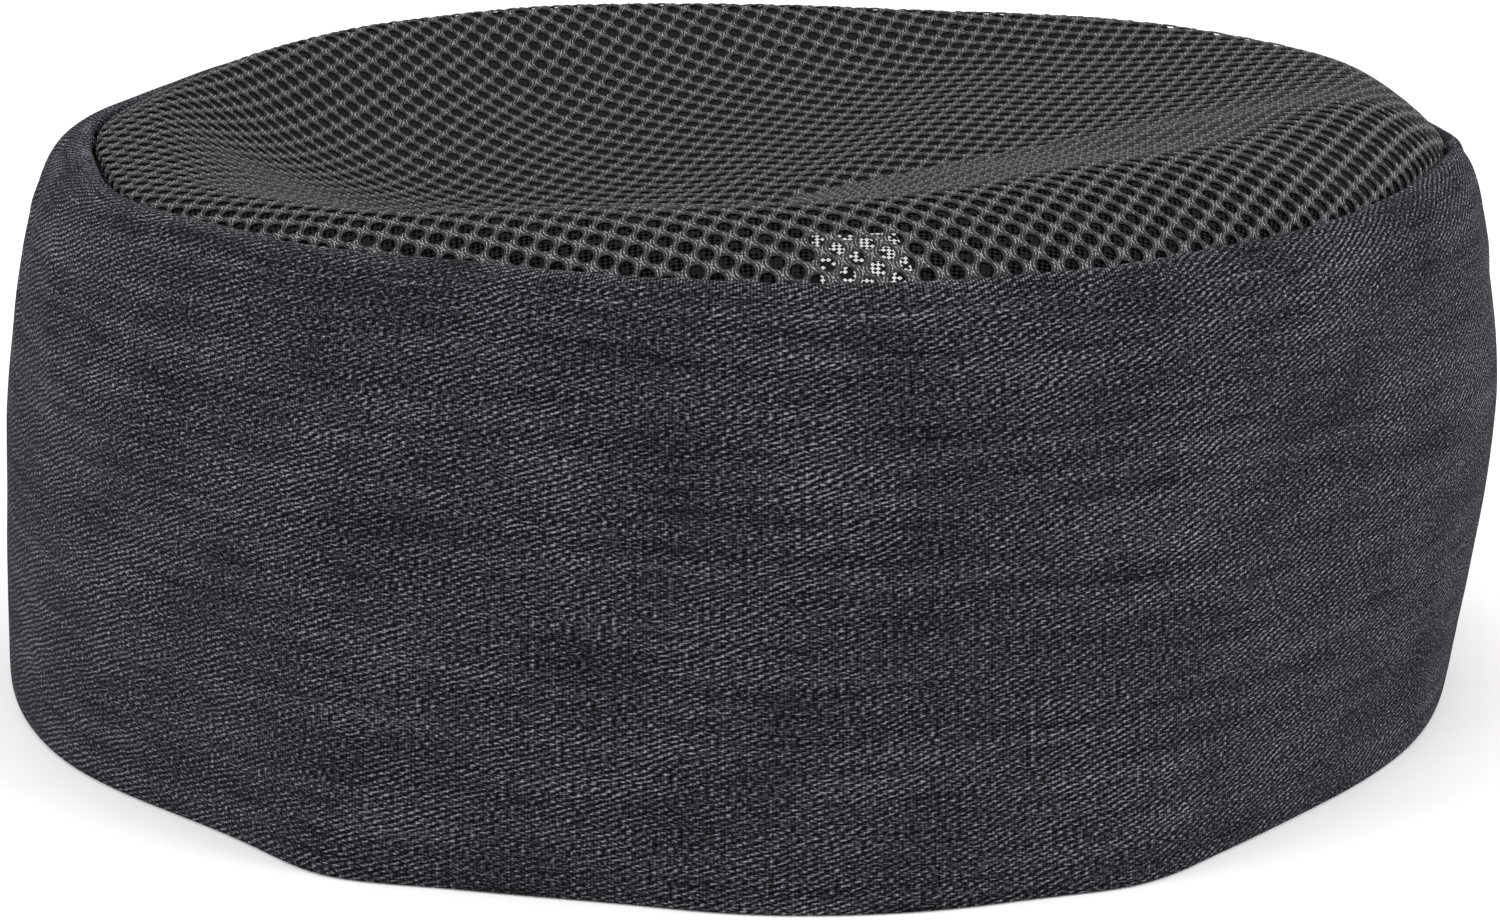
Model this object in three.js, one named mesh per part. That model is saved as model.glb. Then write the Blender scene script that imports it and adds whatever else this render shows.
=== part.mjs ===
// A chef's skull cap: a deep denim band, a crown of spacer mesh that puffs and sags inside its top edge
// and a small blank label behind the mesh. Millimetres, +Z up, -Y to the front.
import * as THREE from 'three';

// Driving dimensions
const capWidth = 187.8; // across the outside of the band, which is 590 mm round: a 58 to 60 cm head
const bandHeight = 69.4; // hem to top edge
const bandWall = 2.2; // denim folded double
const hemRound = 0.5; // softening of the hem's two corners
const meshWall = 2.8; // thickness of the spacer mesh
const seamGap = 0.3; // clearance between the band's top edge and the mesh
const seamDrop = 0.5; // how far the mesh's edge lies below the band's top edge
const seamAllowance = 6; // mesh that hangs inside the band below its top edge
const puffRise = 6; // how high the mesh's roll stands above the band's top edge
const rollWidth = 30; // widest distance of the roll's ridge from the edge
const bowlDepth = 20; // how far the crown's middle could sag below its roll
const foldDepth = 2.1; // strongest fold in the band
const creaseDepth = 2.4; // strongest crease in the crown
const labelWidth = 11;
const labelReach = 13; // how far the label reaches in from the band's top edge, behind the mesh
const labelHang = 5; // how far it hangs below that edge, along the seam allowance
const labelWall = 1;
const labelBearing = 279; // where the label is sewn, degrees round from the right
const labelGap = 0.35; // clearance between the label and the mesh

// How finely the cloth is faceted
const stepsRound = 90;
const shoulderSteps = 4;
const edgeSteps = 3;
const rollSteps = 5;
const labelSteps = 5;

const headRadius = capWidth / 2;
const shoulderStart = 0.88; // share of the band's height where it starts to turn in
const fullTurn = 360;

// The band's sections. Bearings are degrees from the right, counted to the back first. hem, waist, neck and
// edge are radii as shares of the head's radius: at the hem, at waistLevel, where the shoulder starts and at
// the inner side of the top edge. tall is the section's height as a share of the band's height.
const waistLevel = 0.55;
const bandSections = [
  { bearing: 0, hem: 0.962, waist: 1.011, neck: 0.975, edge: 0.935, tall: 0.983 },
  { bearing: 14, hem: 0.968, waist: 1.003, neck: 0.975, edge: 0.935, tall: 0.963 },
  { bearing: 35, hem: 0.985, waist: 1.0, neck: 0.986, edge: 0.943, tall: 0.973 },
  { bearing: 55, hem: 0.998, waist: 1.004, neck: 0.996, edge: 0.955, tall: 0.994 },
  { bearing: 74, hem: 1.002, waist: 1.0, neck: 0.982, edge: 0.934, tall: 0.994 },
  { bearing: 90, hem: 1.002, waist: 0.995, neck: 0.974, edge: 0.922, tall: 1.0 },
  { bearing: 112, hem: 1.005, waist: 1.002, neck: 0.988, edge: 0.942, tall: 1.002 },
  { bearing: 130, hem: 1.006, waist: 1.0, neck: 0.978, edge: 0.918, tall: 1.002 },
  { bearing: 145, hem: 1.008, waist: 0.997, neck: 0.966, edge: 0.888, tall: 0.995 },
  { bearing: 160, hem: 1.014, waist: 0.998, neck: 0.96, edge: 0.872, tall: 0.989 },
  { bearing: 180, hem: 1.022, waist: 1.004, neck: 0.967, edge: 0.882, tall: 1.002 },
  { bearing: 195, hem: 1.018, waist: 1.005, neck: 0.966, edge: 0.878, tall: 1.0 },
  { bearing: 210, hem: 1.012, waist: 1.0, neck: 0.965, edge: 0.898, tall: 1.0 },
  { bearing: 225, hem: 0.991, waist: 0.987, neck: 0.952, edge: 0.88, tall: 1.0 },
  { bearing: 233, hem: 1.003, waist: 0.987, neck: 0.95, edge: 0.888, tall: 1.0 },
  { bearing: 240, hem: 1.036, waist: 0.992, neck: 0.946, edge: 0.872, tall: 1.0 },
  { bearing: 248, hem: 1.006, waist: 0.98, neck: 0.936, edge: 0.862, tall: 1.0 },
  { bearing: 260, hem: 0.996, waist: 0.98, neck: 0.942, edge: 0.882, tall: 1.0 },
  { bearing: 270, hem: 1.022, waist: 0.992, neck: 0.956, edge: 0.904, tall: 1.0 },
  { bearing: 282, hem: 1.032, waist: 1.0, neck: 0.968, edge: 0.923, tall: 1.0 },
  { bearing: 290, hem: 1.028, waist: 1.0, neck: 0.968, edge: 0.922, tall: 1.0 },
  { bearing: 297, hem: 1.04, waist: 1.003, neck: 0.97, edge: 0.924, tall: 1.0 },
  { bearing: 305, hem: 1.0, waist: 0.994, neck: 0.966, edge: 0.914, tall: 1.0 },
  { bearing: 316, hem: 0.97, waist: 0.986, neck: 0.965, edge: 0.914, tall: 1.0 },
  { bearing: 332, hem: 0.965, waist: 0.998, neck: 0.973, edge: 0.912, tall: 1.0 },
  { bearing: 348, hem: 0.96, waist: 1.012, neck: 0.98, edge: 0.929, tall: 1.007 },
];

// Soft folds in the band. A fold runs from one bearing and level to another. Levels are shares of the band's
// height, width is a share of it too, and lift is a share of foldDepth: above 0 a ridge, below 0 a hollow.
const bandFolds = [
  { from: 194, fromLevel: 0.76, to: 220, toLevel: 0.66, width: 0.07, lift: 0.55 },
  { from: 220, fromLevel: 0.66, to: 234, toLevel: 0.5, width: 0.06, lift: 0.5 },
  { from: 202, fromLevel: 0.58, to: 222, toLevel: 0.46, width: 0.09, lift: -0.5 },
  { from: 345, fromLevel: 0.93, to: 316, toLevel: 0.9, width: 0.05, lift: 0.4 },
  { from: 316, fromLevel: 0.9, to: 301, toLevel: 0.8, width: 0.07, lift: 0.55 },
  { from: 328, fromLevel: 0.76, to: 312, toLevel: 0.66, width: 0.1, lift: -0.45 },
  { from: 301, fromLevel: 0.8, to: 304, toLevel: 0.45, width: 0.09, lift: 0.3 },
  { from: 353, fromLevel: 0.97, to: 355, toLevel: 0.84, width: 0.035, lift: -0.8 },
  { from: 183, fromLevel: 0.98, to: 185, toLevel: 0.9, width: 0.035, lift: -0.5 },
  { from: 324, fromLevel: 0.16, to: 328, toLevel: 0.1, width: 0.06, lift: -0.7 },
  { from: 286, fromLevel: 0.4, to: 291, toLevel: 0.16, width: 0.11, lift: -0.5 },
  { from: 262, fromLevel: 0.42, to: 264, toLevel: 0.2, width: 0.12, lift: -0.45 },
  { from: 40, fromLevel: 0.7, to: 62, toLevel: 0.45, width: 0.12, lift: -0.4 },
  { from: 118, fromLevel: 0.4, to: 140, toLevel: 0.62, width: 0.12, lift: -0.4 },
];

// The crown's sections. The mesh puffs up into a roll along the edge and sags into a bowl behind it. ridge is
// the roll's height above the band's top edge as a share of puffRise, and inset its distance from the edge as
// a share of rollWidth. brow, slope and bowl are drops below the ridge as shares of bowlDepth, at browReach,
// slopeReach and bowlReach, which are shares of the way from the middle to the ridge.
const browReach = 0.85;
const slopeReach = 0.6;
const bowlReach = 0.3;
const rollRoundness = 0.85; // of the roll from its ridge to the edge: 0.5 is an ellipse, 1 a parabola
const middleSag = 0.5; // how far the middle lies below the band's top edge, a share of bowlDepth
const crownSections = [
  { bearing: 0, ridge: 0.99, inset: 0.36, brow: 0.12, slope: 0.31, bowl: 0.56 },
  { bearing: 15, ridge: 1.07, inset: 0.24, brow: 0.12, slope: 0.33, bowl: 0.56 },
  { bearing: 35, ridge: 0.74, inset: 0.18, brow: 0.13, slope: 0.3, bowl: 0.48 },
  { bearing: 60, ridge: 0.26, inset: 0.17, brow: 0.2, slope: 0.34, bowl: 0.48 },
  { bearing: 90, ridge: 0.19, inset: 0.15, brow: 0.26, slope: 0.48, bowl: 0.57 },
  { bearing: 115, ridge: 0.26, inset: 0.18, brow: 0.3, slope: 0.6, bowl: 0.72 },
  { bearing: 135, ridge: 0.28, inset: 0.16, brow: 0.31, slope: 0.66, bowl: 0.76 },
  { bearing: 150, ridge: 0.34, inset: 0.16, brow: 0.37, slope: 0.72, bowl: 0.75 },
  { bearing: 165, ridge: 0.33, inset: 0.2, brow: 0.38, slope: 0.7, bowl: 0.73 },
  { bearing: 180, ridge: 0.16, inset: 0.28, brow: 0.31, slope: 0.62, bowl: 0.69 },
  { bearing: 195, ridge: 0.05, inset: 0.32, brow: 0.2, slope: 0.55, bowl: 0.67 },
  { bearing: 210, ridge: 0.08, inset: 0.3, brow: 0.15, slope: 0.48, bowl: 0.66 },
  { bearing: 225, ridge: 0.26, inset: 0.28, brow: 0.14, slope: 0.45, bowl: 0.66 },
  { bearing: 237, ridge: 0.41, inset: 0.31, brow: 0.14, slope: 0.43, bowl: 0.66 },
  { bearing: 250, ridge: 0.62, inset: 0.38, brow: 0.14, slope: 0.4, bowl: 0.65 },
  { bearing: 264, ridge: 0.78, inset: 0.47, brow: 0.14, slope: 0.36, bowl: 0.62 },
  { bearing: 278, ridge: 0.88, inset: 0.55, brow: 0.13, slope: 0.31, bowl: 0.57 },
  { bearing: 290, ridge: 0.94, inset: 0.61, brow: 0.12, slope: 0.28, bowl: 0.54 },
  { bearing: 305, ridge: 1.0, inset: 0.68, brow: 0.12, slope: 0.26, bowl: 0.52 },
  { bearing: 332, ridge: 0.99, inset: 0.52, brow: 0.12, slope: 0.28, bowl: 0.54 },
];

// Creases in the crown. Reaches are shares of the way out from the middle, width is a share of the head's
// radius and lift a share of creaseDepth.
const creaseFade = 0.08; // a crease fades out over this share of the way before the edge
const crownCreases = [
  { from: 121, fromReach: 0.9, to: 119, toReach: 0.6, width: 0.07, lift: -0.4 },
  { from: 60, fromReach: 0.8, to: 48, toReach: 0.45, width: 0.09, lift: 0.3 },
];

const degrees = Math.PI / 180;

/** Reads one column of a closed table of sections at any bearing, as a smooth curve through its rows. */
function readRound(table, column, bearing) {
  const at = ((bearing % fullTurn) + fullTurn) % fullTurn;
  const count = table.length;
  const low = table.filter((row) => row.bearing <= at).length - 1;
  const place = (row) => table[(row + count) % count].bearing + fullTurn * Math.floor(row / count);
  const value = (row) => table[(row + count) % count][column];
  const tangent = (row) => (value(row + 1) - value(row - 1)) / (place(row + 1) - place(row - 1));
  const span = place(low + 1) - place(low);
  const share = (at - place(low)) / span;
  return hermite(value(low), value(low + 1), tangent(low) * span, tangent(low + 1) * span, share);
}

/** The cubic from a to b that leaves and arrives with the given slopes. */
function hermite(a, b, leave, arrive, share) {
  const square = share * share;
  const cube = square * share;
  return (2 * cube - 3 * square + 1) * a + (cube - 2 * square + share) * leave
    + (3 * square - 2 * cube) * b + (cube - square) * arrive;
}

/** How strongly a soft line from one point to another is felt at a third point, from 0 to 1. */
function feltNear(x, y, fromX, fromY, toX, toY, width) {
  const runX = toX - fromX;
  const runY = toY - fromY;
  const along = ((x - fromX) * runX + (y - fromY) * runY) / (runX * runX + runY * runY);
  const held = Math.min(1, Math.max(0, along));
  const away = Math.hypot(x - fromX - held * runX, y - fromY - held * runY) / width;
  return Math.exp(-away * away);
}

/** The signed difference between two bearings, in degrees. */
function turnBetween(from, to) {
  return ((to - from + 1.5 * fullTurn) % fullTurn) - 0.5 * fullTurn;
}

/** How far the folds push the band's wall out at a bearing and a level. */
function foldLift(bearing, level) {
  const arc = headRadius * degrees;
  let lift = 0;
  for (const fold of bandFolds) {
    const x = turnBetween(fold.from, bearing) * arc;
    const toX = turnBetween(fold.from, fold.to) * arc;
    const fromY = fold.fromLevel * bandHeight;
    const toY = fold.toLevel * bandHeight;
    const felt = feltNear(x, level * bandHeight, 0, fromY, toX, toY, fold.width * bandHeight);
    lift += felt * fold.lift * foldDepth;
  }
  return lift;
}

/** The radius of the inner side of the band's top edge. */
function edgeRadius(bearing) {
  return readRound(bandSections, 'edge', bearing) * headRadius;
}

/** The height of the band's top edge. */
function edgeHeight(bearing) {
  return readRound(bandSections, 'tall', bearing) * bandHeight;
}

/** The outside of the band without its shoulder, at a level from the hem to the top edge. */
function sideRadius(bearing, level) {
  const hem = readRound(bandSections, 'hem', bearing) * headRadius;
  const waist = readRound(bandSections, 'waist', bearing) * headRadius;
  const neck = readRound(bandSections, 'neck', bearing) * headRadius;
  const slope = (neck - hem) / shoulderStart;
  const lowSlope = (waist - hem) / waistLevel;
  const highSlope = (neck - waist) / (shoulderStart - waistLevel);
  if (level < waistLevel) {
    return hermite(hem, waist, lowSlope * waistLevel, slope * waistLevel, level / waistLevel);
  }
  const span = shoulderStart - waistLevel;
  if (level < shoulderStart) {
    return hermite(waist, neck, slope * span, highSlope * span, (level - waistLevel) / span);
  }
  return neck + highSlope * (level - shoulderStart);
}

/** The outside of the band, with the shoulder turned in to the top edge and the folds. */
function outerRadius(bearing, level) {
  const side = sideRadius(bearing, level);
  const up = Math.max(0, (level - shoulderStart) / (1 - shoulderStart));
  const turnIn = 1 - Math.sqrt(Math.max(0, 1 - up * up));
  const crest = edgeRadius(bearing) + bandWall / 2;
  return side + (crest - side) * turnIn + foldLift(bearing, level) * (1 - up * up);
}

/** Levels of the band's rows, closer together over the shoulder. */
function bandLevels() {
  const levels = [];
  const sideSteps = 8;
  for (let step = 0; step <= sideSteps; step += 1) levels.push((shoulderStart * step) / sideSteps);
  for (let step = 1; step <= shoulderSteps; step += 1) {
    levels.push(shoulderStart + (1 - shoulderStart) * Math.sin((Math.PI / 2) * (step / shoulderSteps)));
  }
  return levels;
}

/** One section of the band as a closed line of radius and height points, from the hem up and back down. */
function bandSection(bearing) {
  const tall = edgeHeight(bearing);
  const outside = bandLevels().map((level) => new THREE.Vector2(outerRadius(bearing, level), level * tall));
  const inside = outside.map((point, row) => {
    const before = outside[Math.max(0, row - 1)];
    const after = outside[Math.min(outside.length - 1, row + 1)];
    const along = new THREE.Vector2().subVectors(after, before).normalize();
    const last = row === outside.length - 1;
    const normal = last ? new THREE.Vector2(0, 1) : new THREE.Vector2(along.y, -along.x);
    if (row === 0) normal.set(1, 0);
    return new THREE.Vector2().copy(point).addScaledVector(normal, -bandWall);
  });
  const hem = outside[0].x;
  outside[0].y = hemRound;
  inside[0].y = hemRound;
  const line = [new THREE.Vector2(hem - hemRound, 0), ...outside];
  const crest = outside[outside.length - 1];
  for (let step = 1; step <= edgeSteps; step += 1) {
    const turn = Math.PI * (step / (edgeSteps + 1));
    const nose = bandWall / 2;
    line.push(new THREE.Vector2(crest.x - nose * Math.sin(turn), crest.y - nose + nose * Math.cos(turn)));
  }
  const keptInside = inside.filter((point, row) => row % 2 === 0 || row > inside.length - shoulderSteps);
  line.push(...keptInside.reverse());
  line.push(new THREE.Vector2(hem - bandWall + hemRound, 0));
  return line;
}

/** Height of the crown's top over the band's edge, at a bearing and a share of the way out. */
function crownRise(bearing, reach) {
  const ridge = readRound(crownSections, 'ridge', bearing) * puffRise;
  const ridgeReach = crownRidge(bearing);
  if (reach >= ridgeReach) {
    const out = Math.min(1, (reach - ridgeReach) / (1 - ridgeReach));
    return (ridge + seamDrop) * (1 - out * out) ** rollRoundness - seamDrop;
  }
  const dropped = (column) => ridge - readRound(crownSections, column, bearing) * bowlDepth;
  const knots = [
    { at: 0, height: -middleSag * bowlDepth },
    { at: bowlReach, height: dropped('bowl') },
    { at: slopeReach, height: dropped('slope') },
    { at: browReach, height: dropped('brow') },
    { at: 1, height: ridge },
  ];
  return readKnots(knots, reach / ridgeReach);
}

/** The smooth curve through rising knots that is level at its first and last. */
function readKnots(knots, at) {
  const last = knots.length - 1;
  const low = Math.min(last - 1, knots.filter((knot) => knot.at <= at).length - 1);
  const tangent = (row) => {
    if (row === 0 || row === last) return 0;
    return (knots[row + 1].height - knots[row - 1].height) / (knots[row + 1].at - knots[row - 1].at);
  };
  const from = knots[low];
  const to = knots[low + 1];
  const span = to.at - from.at;
  return hermite(from.height, to.height, tangent(low) * span, tangent(low + 1) * span, (at - from.at) / span);
}

/** The ridge's place as a share of the way out. */
function crownRidge(bearing) {
  return 1 - (readRound(crownSections, 'inset', bearing) * rollWidth) / edgeRadius(bearing);
}

/** How far the creases lift the crown at a bearing and a share of the way out. */
function creaseLift(bearing, reach) {
  const radius = edgeRadius(bearing);
  const x = reach * radius * Math.cos(bearing * degrees);
  const y = reach * radius * Math.sin(bearing * degrees);
  let lift = 0;
  for (const crease of crownCreases) {
    const fromRadius = crease.fromReach * edgeRadius(crease.from);
    const toRadius = crease.toReach * edgeRadius(crease.to);
    const fromX = fromRadius * Math.cos(crease.from * degrees);
    const fromY = fromRadius * Math.sin(crease.from * degrees);
    const toX = toRadius * Math.cos(crease.to * degrees);
    const toY = toRadius * Math.sin(crease.to * degrees);
    const felt = feltNear(x, y, fromX, fromY, toX, toY, crease.width * headRadius);
    lift += felt * crease.lift * creaseDepth;
  }
  const fade = Math.min(1, (1 - reach) / creaseFade);
  return lift * fade;
}

/** A point on the crown's top. Past reach 1 it runs down inside the band's edge as the seam allowance. */
function crownPoint(bearing, reach) {
  const held = Math.min(1, reach);
  const radius = (edgeRadius(bearing) - seamGap) * held;
  const hang = Math.max(0, reach - 1) * seamAllowance;
  const height = edgeHeight(bearing) + crownRise(bearing, held) + creaseLift(bearing, held) - hang;
  const turn = bearing * degrees;
  return new THREE.Vector3(radius * Math.cos(turn), radius * Math.sin(turn), height);
}

/** The outward direction of the crown's top. */
function crownNormal(bearing, reach) {
  const turn = bearing * degrees;
  if (reach >= 1) return new THREE.Vector3(Math.cos(turn), Math.sin(turn), 0);
  const small = 0.004;
  const out = crownPoint(bearing, Math.min(1, reach + small)).sub(crownPoint(bearing, reach - small));
  const round = crownPoint(bearing + 1, reach).sub(crownPoint(bearing - 1, reach));
  return new THREE.Vector3().crossVectors(out, round).normalize();
}

/** Shares of the way out for the crown's rings at one bearing, from the middle to the seam allowance. */
const flatRings = [0.14, 0.29, 0.45, 0.6, 0.72, 0.83, 0.92, 1]; // shares of the way to the ridge
const seamReaches = [1.5, 2]; // past 1 the mesh hangs down, at 2 by the whole seam allowance
function crownReaches(bearing) {
  const ridge = crownRidge(bearing);
  const flat = flatRings.map((share) => share * ridge);
  const roll = [];
  for (let step = 1; step <= rollSteps; step += 1) {
    roll.push(ridge + (1 - ridge) * Math.sin((Math.PI / 2) * (step / rollSteps)));
  }
  return [...flat, ...roll, ...seamReaches];
}

/** Joins rings of points, each the same length, into one closed skin. */
function joinRings(rings, closed) {
  const positions = [];
  const triangles = [];
  const count = rings[0].length;
  rings.forEach((ring) => ring.forEach((point) => positions.push(point.x, point.y, point.z)));
  const last = closed ? rings.length : rings.length - 1;
  for (let ring = 0; ring < last; ring += 1) {
    const next = (ring + 1) % rings.length;
    for (let step = 0; step < count; step += 1) {
      const a = ring * count + step;
      const b = ring * count + ((step + 1) % count);
      const c = next * count + step;
      const d = next * count + ((step + 1) % count);
      triangles.push(a, b, d, a, d, c);
    }
  }
  return { positions, triangles, count };
}

/** A geometry from positions and triangles. */
function skin({ positions, triangles }) {
  const geometry = new THREE.BufferGeometry();
  geometry.setAttribute('position', new THREE.Float32BufferAttribute(positions, 3));
  geometry.setIndex(triangles);
  geometry.computeVertexNormals();
  return geometry;
}

/** The band: its sections swept round, as one closed ring. */
function makeBand() {
  const sections = [];
  for (let step = 0; step < stepsRound; step += 1) sections.push(bandSection((fullTurn * step) / stepsRound));
  const rows = sections[0].length;
  const rings = [];
  for (let row = 0; row < rows; row += 1) {
    rings.push(sections.map((section, step) => {
      const turn = (2 * Math.PI * step) / stepsRound;
      const radius = section[row].x;
      return new THREE.Vector3(radius * Math.cos(turn), radius * Math.sin(turn), section[row].y);
    }));
  }
  return skin(joinRings(rings, true));
}

/** The crown: its top, its seam allowance and its underside, closed at the middle by a point on each side. */
function makeCrown() {
  const bearings = Array.from({ length: stepsRound }, (unused, step) => (fullTurn * step) / stepsRound);
  const reachCount = crownReaches(0).length;
  const top = [];
  const under = [];
  for (let row = 0; row < reachCount; row += 1) {
    top.push(bearings.map((bearing) => crownPoint(bearing, crownReaches(bearing)[row])));
    under.push(bearings.map((bearing, step) => {
      const normal = crownNormal(bearing, crownReaches(bearing)[row]);
      return top[row][step].clone().addScaledVector(normal, -meshWall);
    }));
  }
  const seamRow = flatRings.length + rollSteps - 1; // the underside cuts the corner at the seam
  const isKept = (row) => row !== seamRow && (row % 2 === 0 || row >= flatRings.length - 1);
  const keptUnder = under.filter((ring, row) => isKept(row));
  const shell = joinRings([...keptUnder, ...top.reverse()], false);
  const middleUnder = shell.positions.length / 3;
  const middleTop = middleUnder + 1;
  const height = crownPoint(0, 0).z;
  shell.positions.push(0, 0, height - meshWall, 0, 0, height);
  const lastRing = middleUnder - shell.count;
  for (let step = 0; step < shell.count; step += 1) {
    const next = (step + 1) % shell.count;
    shell.triangles.push(middleUnder, next, step);
    shell.triangles.push(middleTop, lastRing + step, lastRing + next);
  }
  return skin(shell);
}

/** The label: a short strip that follows the inside of the front roll, from the seam upwards. */
function makeLabel() {
  const rings = [];
  const halfTurn = labelWidth / 2 / edgeRadius(labelBearing) / degrees;
  const offsets = [meshWall + labelGap, meshWall + labelGap + labelWall];
  const across = [-1, -1 / 3, 1 / 3, 1];
  const reaches = [1 + labelHang / seamAllowance, 1 + labelHang / seamAllowance / 2];
  for (let step = 1; step <= labelSteps; step += 1) {
    reaches.push(1 - (labelReach / edgeRadius(labelBearing)) * (step / labelSteps));
  }
  for (const reach of reaches) {
    const ring = [];
    offsets.forEach((offset, side) => {
      const order = side === 0 ? across : [...across].reverse();
      order.forEach((place) => {
        const bearing = labelBearing + place * halfTurn;
        ring.push(crownPoint(bearing, reach).addScaledVector(crownNormal(bearing, reach), -offset));
      });
    });
    rings.push(ring);
  }
  const strip = joinRings(rings, false);
  const last = (rings.length - 1) * strip.count;
  for (let corner = 0; corner < across.length - 1; corner += 1) {
    const far = strip.count - 1 - corner;
    strip.triangles.push(corner, far, corner + 1, corner + 1, far, far - 1);
    strip.triangles.push(last + corner, last + corner + 1, last + far);
    strip.triangles.push(last + corner + 1, last + far - 1, last + far);
  }
  return skin(strip);
}

/** A named mesh with its own cloth finish. */
function piece(name, geometry, color, roughness) {
  const mesh = new THREE.Mesh(geometry, new THREE.MeshStandardMaterial({ color, roughness, metalness: 0 }));
  mesh.name = name;
  return mesh;
}

const cap = new THREE.Group();
cap.add(piece('band', makeBand(), 0x3b3c42, 0.9));
cap.add(piece('crown_mesh', makeCrown(), 0x35343a, 0.8));
cap.add(piece('care_label', makeLabel(), 0xe6e6e6, 0.7));

// The cap stands on its hem, with the origin under the middle of its box.
const box = new THREE.Box3().setFromObject(cap);
const middle = box.getCenter(new THREE.Vector3());
cap.children.forEach((mesh) => mesh.position.set(-middle.x, -middle.y, -box.min.z));

export default cap;
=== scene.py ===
"""The looks of a chef's skull cap: a denim band, a crown of knitted spacer mesh and a blank label."""

import logging
import math
from collections.abc import Iterable
from dataclasses import dataclass, field
from enum import Enum

import bpy
import numpy as np
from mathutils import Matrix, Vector
from mathutils.bvhtree import BVHTree


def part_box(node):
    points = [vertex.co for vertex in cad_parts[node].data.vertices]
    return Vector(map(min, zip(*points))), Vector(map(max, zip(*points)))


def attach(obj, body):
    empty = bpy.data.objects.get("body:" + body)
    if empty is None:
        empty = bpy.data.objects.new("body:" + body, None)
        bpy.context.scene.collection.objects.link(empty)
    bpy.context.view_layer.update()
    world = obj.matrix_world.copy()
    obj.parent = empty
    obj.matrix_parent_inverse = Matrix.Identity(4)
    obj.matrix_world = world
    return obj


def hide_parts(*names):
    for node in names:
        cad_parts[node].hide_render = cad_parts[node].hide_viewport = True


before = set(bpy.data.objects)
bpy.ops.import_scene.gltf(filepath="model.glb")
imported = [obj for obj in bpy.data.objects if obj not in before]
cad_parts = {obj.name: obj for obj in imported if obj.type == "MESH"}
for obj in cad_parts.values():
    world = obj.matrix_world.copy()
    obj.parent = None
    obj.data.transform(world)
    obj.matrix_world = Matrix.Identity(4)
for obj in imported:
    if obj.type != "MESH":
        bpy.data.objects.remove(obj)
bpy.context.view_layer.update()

log = logging.getLogger("skull_cap")
MM = 0.001
BODY = "root"
CLOTH_MAP = "cloth"  # the UV map that holds places on the cloth
SUNK = "sunk"  # the attribute that says how far down its flank a point of a strand lies
FULL_TURN = 2 * math.pi
WELD = 0.01 * MM  # points of a CAD copy that are closer together than this become one
QUAD_BEND = math.radians(60)  # two triangles become a quad if they bend less than this
QUAD_SKEW = math.radians(70)  # and if the quad's corners are less skew than this
TINY = 1e-9  # a sine or cosine this near to 0 counts as 0
WHITE = (1.0, 1.0, 1.0, 1.0)

Tree = bpy.types.NodeTree
Node = bpy.types.Node
Material = bpy.types.Material
Piece = bpy.types.Object
Source = Node | bpy.types.NodeSocket
Size = tuple[float, float]  # of a feature, across the cloth and along it
Span = tuple[float, float]  # from and to
Bump = tuple[float, float]  # how strongly a relief shows, and how deep it is in mm
Stops = tuple[tuple[float, str], ...]  # places on a colour ramp and their sRGB colours, from low to high


class Held(Enum):
    """How a sheet of the cap is held."""

    STRETCHED = "stretched"
    LAID = "laid"


class Slot(Enum):
    """The record's material slots."""

    DENIM = "denim"
    SPACER_MESH = "spacer_mesh"
    LABEL_TAPE = "label_tape"


def linear(colour: str) -> tuple[float, float, float, float]:
    """Turns an sRGB hex colour into a linear one.

    Args:
        colour: The colour as a hex string such as "#3a3b40".

    Returns:
        Red, green, blue and alpha.
    """
    parts = [int(colour[place : place + 2], 16) / 255 for place in (1, 3, 5)]
    turned = [part / 12.92 if part <= 0.04045 else ((part + 0.055) / 1.055) ** 2.4 for part in parts]
    return (*turned, 1.0)


def add_node(tree: Tree, kind: str, inputs: dict | list | tuple = (), **settings: object) -> Node:
    """Adds a node with its settings and the values or links into it.

    Args:
        tree: The node tree.
        kind: The shader node's type.
        inputs: Values or source sockets, in order or by the input's name or number.
        settings: Attributes of the node.

    Returns:
        The new node.
    """
    made = tree.nodes.new(f"ShaderNode{kind}")
    for name, value in settings.items():
        setattr(made, name, value)
    pairs = inputs.items() if isinstance(inputs, dict) else enumerate(inputs)
    for key, value in pairs:
        if isinstance(value, Node):
            value = value.outputs[0]
        if isinstance(value, bpy.types.NodeSocket):
            tree.links.new(value, made.inputs[key])
        else:
            made.inputs[key].default_value = value
    return made


def new_material(name: str) -> Material:
    """Makes a material with an empty node tree.

    Args:
        name: The material's name.

    Returns:
        The material.
    """
    material = bpy.data.materials.new(name)
    material.use_nodes = True
    material.node_tree.nodes.clear()
    return material


def name_piece(piece: Piece, name: str) -> None:
    """Names a piece and its mesh.

    Args:
        piece: The piece.
        name: The name.
    """
    piece.name = name
    piece.data.name = name


def new_cloth(name: str) -> tuple[Material, Tree, Source, Source, Source]:
    """Makes a material for a cloth that has a cloth map.

    Args:
        name: The material's name.

    Returns:
        The material, its tree, the place on the cloth, and that place across and along.
    """
    made = new_material(name)
    place = add_node(made.node_tree, "UVMap", uv_map=CLOTH_MAP)
    across, along = add_node(made.node_tree, "SeparateXYZ", [place]).outputs[:2]
    return made, made.node_tree, place, across, along


def select_only(piece: Piece) -> None:
    """Selects one object alone and makes it active.

    Args:
        piece: The object.
    """
    bpy.ops.object.select_all(action="DESELECT")
    piece.select_set(True)
    bpy.context.view_layer.objects.active = piece


def apply_modifier(piece: Piece, kind: str, **settings: object) -> None:
    """Adds a modifier to a piece and applies it.

    Args:
        piece: The piece.
        kind: The modifier's type.
        settings: Attributes of the modifier.
    """
    select_only(piece)
    modifier = piece.modifiers.new(kind.lower(), kind)
    for name, value in settings.items():
        setattr(modifier, name, value)
    bpy.ops.object.modifier_apply(modifier=modifier.name)


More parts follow.
